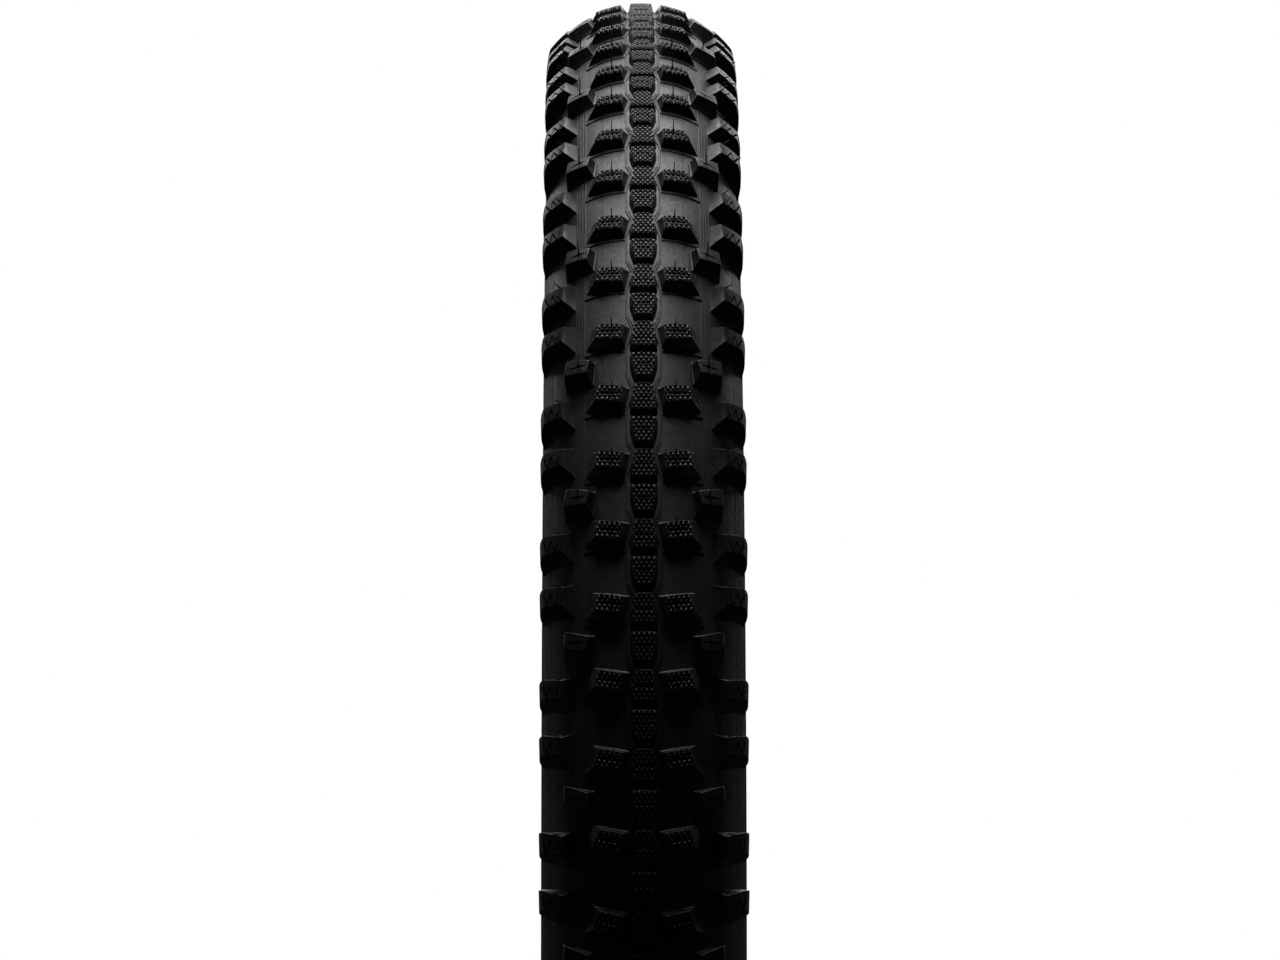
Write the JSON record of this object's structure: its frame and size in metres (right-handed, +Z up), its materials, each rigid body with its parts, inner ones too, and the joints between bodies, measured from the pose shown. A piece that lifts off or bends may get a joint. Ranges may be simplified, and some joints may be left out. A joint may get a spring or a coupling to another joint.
{
  "type": "bicycle tire",
  "caption": "Knobby off-road bicycle tire with a round casing, block tread and wire beads, open at the inside for its rim.",
  "frame": {"origin": "centre of the wheel, on its axle line and midway between the beads", "axes": "+Y along the axle to the tire's left, +X the way it rolls, +Z up"},
  "size_m": [0.7156, 0.0686, 0.7156],
  "materials": {
    "tread_rubber": "matte moulded rubber",
    "block_rubber": "satin moulded rubber with a knurl",
    "sidewall_rubber": "satin moulded rubber",
    "filler_rubber": "matte",
    "casing_cord": "rubbered cord",
    "belt_cord": "rubbered weave",
    "chafer_cord": "rubbered square weave",
    "bead_tape": "woven tape",
    "bead_steel": "drawn, bronze-coated wire"
  },
  "bodies": {
    "root": {"bead_core_left": "bead_steel", "bead_core_right": "bead_steel", "bead_wrap_left": "bead_tape", "bead_wrap_right": "bead_tape", "bead_filler_left": "filler_rubber", "bead_filler_right": "filler_rubber", "casing_ply_inner": "casing_cord", "casing_ply_outer": "casing_cord", "puncture_belt": "belt_cord", "chafer_left": "chafer_cord", "chafer_right": "chafer_cord", "sidewall_left": "sidewall_rubber", "sidewall_right": "sidewall_rubber", "tread_base": "tread_rubber", "centre_rail": "tread_rubber", "centre_blocks_long": "block_rubber", "centre_blocks_short": "block_rubber", "inner_blocks_left": "block_rubber", "inner_blocks_right": "block_rubber", "outer_blocks_left": "block_rubber", "outer_blocks_right": "block_rubber", "shoulder_blocks_left": "block_rubber", "shoulder_blocks_right": "block_rubber", "vent_spews": "tread_rubber"}
  },
  "joints": []
}
